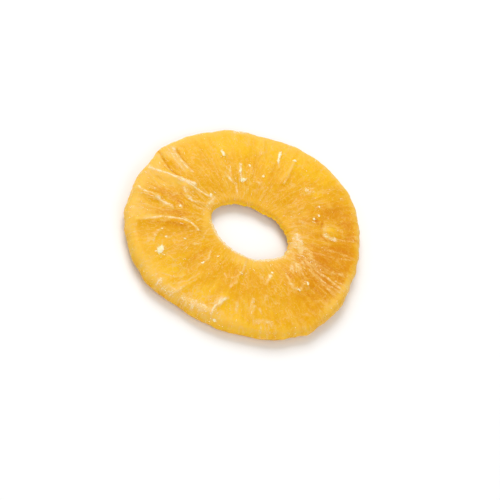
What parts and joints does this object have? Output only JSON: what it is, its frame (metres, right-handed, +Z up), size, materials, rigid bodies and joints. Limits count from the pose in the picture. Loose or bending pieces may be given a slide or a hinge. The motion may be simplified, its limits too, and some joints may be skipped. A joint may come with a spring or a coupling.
{
  "type": "pineapple ring",
  "caption": "Candied and dried pineapple slice, a flat uneven ring with an oval core hole, rounded edges and radial folds, dusted with fine sugar.",
  "frame": {"origin": "on the table, under the middle of the slice's outline", "axes": "+Z up, square to the face that shows; +X along the longer side of the oval hole, towards the smooth side of the face, with the folded side at -X; +Y away from the viewer of the face"},
  "size_m": [0.0792, 0.0788, 0.0073],
  "materials": {
    "candied_flesh": "golden yellow, translucent, half gloss with a thin sugar frost"
  },
  "bodies": {
    "root": {"pineapple_ring": "candied_flesh"}
  },
  "joints": []
}
